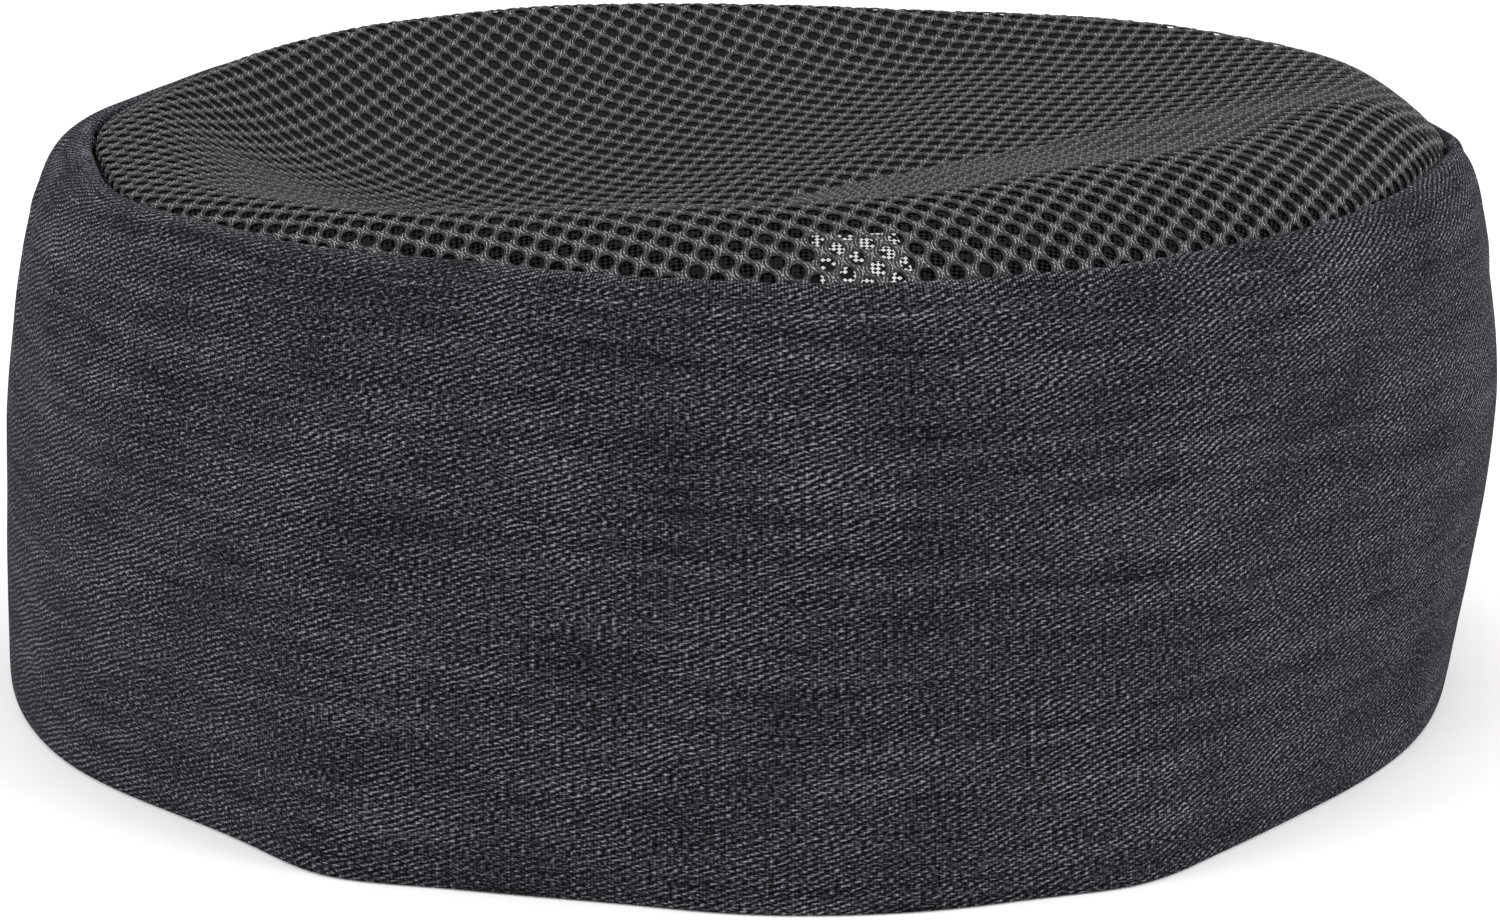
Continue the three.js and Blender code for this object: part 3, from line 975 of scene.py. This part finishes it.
@dataclass
class CrownMesh:
    """The spacer mesh: a knitted face with real holes, laid over a fine backing."""

    face_finish: SpacerKnit = field(default_factory=SpacerKnit)
    backing_finish: FineBacking = field(default_factory=FineBacking)
    course_pitch: float = 3.5 * MM  # from hole to hole across
    row_pitch: float = 2.15 * MM  # from row to row, which are staggered
    hole_width: float = 1.8 * MM
    hole_length: float = 2.3 * MM
    turn: float = 17.0  # degrees that the rows rise to the right, seen from above
    strand_round: float = 0.14 * MM  # how far the strands' flanks lie below their crests
    hole_depth: float = 0.24 * MM  # from a strand's crest to its lower edge
    # Where the strands' crests lie round a quarter of a hole, as shares of the two pitches.
    crests: tuple[Size, ...] = ((0.37, 0.0), (0.335, 0.27), (0.19, 0.5), (0.0, 0.69))
    crest_dip: float = 0.6  # of strand_round, how far the crest dips where two strands meet
    backing_depth: float = 0.4 * MM
    hang: float = 5 * MM  # cloth below the band's edge
    uncut: float = 112 * MM  # half the side of the square that the face is cut from
    weld: float = 0.02 * MM  # points of two cells that are closer together than this become one
    rings: int = 3  # of a cell: its hole, the strands' crests and its outline
    ring_growth: float = 1.3  # from ring to ring, until each ring gets its own places
    corners: int = 12
    backing_rings: int = 48
    backing_steps: int = 180

    def build(self, form: CrownForm) -> None:
        """Builds the face and the backing.

        Args:
            form: The crown's form.
        """
        face = self._knit_cell()
        self._repeat(face)
        self._lay_face(face, form)
        knit = self.face_finish.material(self.course_pitch / MM, 2 * self.row_pitch / MM)
        finish_piece(face, knit)
        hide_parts("crown_mesh")
        backing = self._backing(form)
        finish_piece(backing, self.backing_finish.material())

    def _knit_cell(self) -> Piece:
        """Models one hole with the strands round it, as rings from the hole out to its neighbours.

        Returns:
            The cell.
        """
        bpy.ops.object.select_all(action="DESELECT")
        bpy.ops.mesh.primitive_circle_add(vertices=self.corners, radius=self.hole_width / 2)
        cell = bpy.context.object
        name_piece(cell, "knit_face")
        bpy.ops.object.mode_set(mode="EDIT")
        bpy.ops.mesh.select_mode(type="VERT")
        bpy.ops.mesh.select_all(action="SELECT")
        for _ in range(self.rings - 1):
            bpy.ops.mesh.extrude_region_move()
            bpy.ops.transform.resize(value=(self.ring_growth, self.ring_growth, 1.0))
        bpy.ops.object.mode_set(mode="OBJECT")
        half, row = self.course_pitch / 2, self.row_pitch
        # The cell ends halfway to its six neighbours.
        tip = (half**2 + row**2) / (2 * row)
        waist = (half**2 + row**2 - 2 * half * half) / (2 * row)
        # Places on the outline round a quarter of the hole, and whether the strands lie low there.
        outline = [
            ((half, 0.0), True),
            ((half, waist), True),
            ((half / 2, (waist + tip) / 2), False),
            ((0.0, tip), True),
        ]
        places = np.zeros((self.rings, self.corners, 3))
        for corner in range(self.corners):
            angle = FULL_TURN * corner / self.corners
            step = corner % (self.corners // 2)
            index = min(step, self.corners // 2 - step)
            right = 1 if math.cos(angle) >= -TINY else -1
            up = 1 if math.sin(angle) >= -TINY else -1
            outer, low = outline[index]
            crest = self.crests[index]
            dip = self.crest_dip * self.strand_round if index == len(outline) - 1 else 0.0
            places[:, corner] = (
                (
                    self.hole_width / 2 * math.cos(angle),
                    self.hole_length / 2 * math.sin(angle),
                    -self.hole_depth,
                ),
                (right * crest[0] * self.course_pitch, up * crest[1] * row, -dip),
                (right * outer[0], up * outer[1], -self.strand_round if low else 0.0),
            )
        write_points(cell, self._in_mesh_order(cell, places))
        return cell

    def _in_mesh_order(self, cell: Piece, places: np.ndarray) -> np.ndarray:
        """Sorts ring places into the order of the mesh's vertices, by ring and by angle.

        Args:
            cell: The cell as it was extruded.
            places: A place for each ring and corner.

        Returns:
            A place for each vertex.
        """
        points = read_points(cell)
        away = np.hypot(points[:, 0], points[:, 1])
        rings = np.round(np.log(away / (self.hole_width / 2)) / math.log(self.ring_growth)).astype(int)
        corners = np.round(np.arctan2(points[:, 1], points[:, 0]) / FULL_TURN * self.corners).astype(int)
        return places[rings, corners % self.corners]

    def _repeat(self, face: Piece) -> None:
        """Repeats the cell over a square of cloth, with the middle of a hole at the origin.

        Args:
            face: The cell, which becomes the cloth.
        """
        columns = math.ceil(2 * self.uncut / self.course_pitch)
        rows = math.ceil(self.uncut / self.row_pitch)
        steps = [
            (2, (self.course_pitch / 2, self.row_pitch, 0)),
            (columns, (self.course_pitch, 0, 0)),
            (rows, (0, 2 * self.row_pitch, 0)),
        ]
        for count, offset in steps:
            apply_modifier(
                face,
                "ARRAY",
                count=count,
                use_relative_offset=False,
                use_constant_offset=True,
                constant_offset_displace=offset,
            )
        points = read_points(face)
        points[:, 0] -= columns // 2 * self.course_pitch
        points[:, 1] -= rows // 2 * 2 * self.row_pitch
        write_points(face, points)

    def _lay_face(self, face: Piece, form: CrownForm) -> None:
        """Maps the flat face, cuts it round and lays it on the crown.

        Args:
            face: The flat face.
            form: The crown's form.
        """
        turn = math.radians(self.turn)
        select_only(face)
        bpy.ops.object.mode_set(mode="EDIT")
        bpy.ops.mesh.select_all(action="DESELECT")
        bpy.ops.object.mode_set(mode="OBJECT")
        outside = form.past_edge(self._turned(read_points(face), turn)) > self.hang
        face.data.vertices.foreach_set("select", outside)
        bpy.ops.object.mode_set(mode="EDIT")
        bpy.ops.mesh.delete(type="VERT")
        bpy.ops.mesh.select_all(action="SELECT")
        bpy.ops.mesh.remove_doubles(threshold=self.weld)
        bpy.ops.object.mode_set(mode="OBJECT")
        points = read_points(face)
        write_cloth_map(face, points[:, 0] / self.course_pitch, points[:, 1] / (2 * self.row_pitch))
        sunk = face.data.attributes.new(SUNK, "FLOAT", "POINT")
        lip = (-points[:, 2] - self.strand_round) / (self.hole_depth - self.strand_round)
        sunk.data.foreach_set("value", np.clip(lip, 0, 1).astype(np.float32))
        write_points(face, form.lay(self._turned(points, turn)))
        bpy.ops.object.shade_smooth()

    @staticmethod
    def _turned(points: np.ndarray, turn: float) -> np.ndarray:
        """Turns points about the upright axis.

        Args:
            points: The points.
            turn: The turn in radians.

        Returns:
            The turned points.
        """
        across = points[:, 0] * math.cos(turn) - points[:, 1] * math.sin(turn)
        along = points[:, 0] * math.sin(turn) + points[:, 1] * math.cos(turn)
        return np.stack([across, along, points[:, 2]], axis=1)

    def _backing(self, form: CrownForm) -> Piece:
        """Models the backing, a round sheet under the face.

        Args:
            form: The crown's form.

        Returns:
            The backing.
        """
        bpy.ops.object.select_all(action="DESELECT")
        bpy.ops.mesh.primitive_circle_add(vertices=self.backing_steps, radius=1 * MM, fill_type="TRIFAN")
        backing = bpy.context.object
        name_piece(backing, "knit_backing")
        bpy.ops.object.mode_set(mode="EDIT")
        bpy.ops.mesh.select_mode(type="EDGE")
        bpy.ops.mesh.select_all(action="DESELECT")
        bpy.ops.mesh.select_non_manifold()
        for ring in range(1, self.backing_rings + 1):
            bpy.ops.mesh.extrude_edges_move()
            grown = (ring + 1) / ring
            bpy.ops.transform.resize(value=(grown, grown, 1.0))
        bpy.ops.object.mode_set(mode="OBJECT")
        points = read_points(backing)
        share = np.hypot(points[:, 0], points[:, 1]) / ((self.backing_rings + 1) * MM)
        turn = np.arctan2(points[:, 1], points[:, 0])
        place = (turn / FULL_TURN) % 1.0 * form.bearings
        reach = form.reach[np.floor(place).astype(int) % form.bearings] + self.hang
        away = share * reach
        depth = np.full_like(away, -self.backing_depth)
        flat = np.stack([away * np.cos(turn), away * np.sin(turn), depth], axis=1)
        write_cloth_map(backing, flat[:, 0] / MM, flat[:, 1] / MM)
        write_points(backing, form.lay(flat))
        select_only(backing)
        bpy.ops.object.shade_smooth()
        return backing


@dataclass
class CareLabel:
    """The blank label, a short strip of white tape sewn in behind the front of the mesh."""

    finish: WovenTape = field(default_factory=WovenTape)
    levels: int = 2
    width: float = 11 * MM
    length: float = 15 * MM

    def build(self) -> None:
        """Builds the label."""
        piece = smooth_copy("care_label", "blank_label", self.levels, rounded=False)
        points = read_points(piece)
        write_cloth_map(piece, points[:, 0] / MM, (points[:, 1] + points[:, 2]) / MM)
        finish_piece(piece, self.finish.material())
        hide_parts("care_label")


@dataclass(frozen=True)
class SoftLight:
    """A soft square light that hangs over the floor and faces the cap."""

    name: str
    place: tuple[float, float, float]
    size: float  # m, its side
    power: float  # W


@dataclass
class Studio:
    """The pale floor, the soft lights and the camera."""

    floor_finish: PaleCard = field(default_factory=PaleCard)
    floor_size: float = 2.4  # m
    sky_glow: float = 0.55  # on the cap
    wall_glow: float = 1.0  # as the camera sees it
    camera_place: tuple[float, float, float] = (0.52 * MM, -538.93 * MM, 178 * MM)
    camera_tilt: float = 15.84  # degrees below level
    lens: float = 104.0  # mm
    sensor: float = 36.0  # mm
    aim_height: float = 50 * MM  # over the floor, where the lights aim
    lights: tuple[SoftLight, ...] = (
        SoftLight("overhead", (0.0, 0.1, 1.1), 1.2, 7.0),
        SoftLight("left_box", (-1.0, -0.35, 0.5), 0.8, 9.0),
        SoftLight("right_box", (1.0, -0.35, 0.55), 0.8, 10.0),
        SoftLight("flash", (0.05, -1.75, 0.62), 0.25, 7.0),
    )

    def build(self) -> None:
        """Builds the studio round the cap."""
        self._floor()
        self._camera()
        for light in self.lights:
            self._hang(light)
        self._sky()

    def _floor(self) -> None:
        """Lays the floor."""
        bpy.ops.object.select_all(action="DESELECT")
        bpy.ops.mesh.primitive_plane_add(size=self.floor_size, location=(0, 0, 0))
        floor = bpy.context.object
        floor.name = "pale_floor"
        floor.data.materials.append(self.floor_finish.material())

    def _camera(self) -> None:
        """Sets the camera up."""
        data = bpy.data.cameras.new("camera")
        data.sensor_width = self.sensor
        data.lens = self.lens
        camera = bpy.data.objects.new("camera", data)
        camera.location = self.camera_place
        camera.rotation_euler = (math.radians(90 - self.camera_tilt), 0, 0)
        bpy.context.collection.objects.link(camera)
        bpy.context.scene.camera = camera

    def _hang(self, soft: SoftLight) -> None:
        """Hangs a light.

        Args:
            soft: What it is like.
        """
        data = bpy.data.lights.new(soft.name, "AREA")
        data.size = soft.size
        data.energy = soft.power
        light = bpy.data.objects.new(soft.name, data)
        light.location = soft.place
        aim = Vector((0, 0, self.aim_height)) - Vector(soft.place)
        light.rotation_euler = aim.to_track_quat("-Z", "Y").to_euler()
        bpy.context.collection.objects.link(light)

    def _sky(self) -> None:
        """Fills the room with even light."""
        world = bpy.data.worlds.new("studio")
        world.use_nodes = True
        tree = world.node_tree
        tree.nodes.clear()
        glow = add_node(tree, "Background", {"Color": WHITE, "Strength": self.sky_glow})
        # Seen straight on, the wall behind the floor is as white as the floor under its lights.
        wall = add_node(tree, "Background", {"Color": WHITE, "Strength": self.wall_glow})
        seen = add_node(tree, "LightPath").outputs["Is Camera Ray"]
        room = add_node(tree, "MixShader", [seen, glow, wall])
        add_node(tree, "OutputWorld", [room])
        bpy.context.scene.world = world
        bpy.context.scene.view_settings.view_transform = "Standard"


def main() -> None:
    """Builds the cap's pieces in order, and the studio round them."""
    logging.basicConfig(level=logging.INFO, format="%(message)s")
    form = CrownForm("crown_mesh")
    Band().build()
    CrownMesh().build(form)
    CareLabel().build()
    Studio().build()


if __name__ == "__main__":
    main()
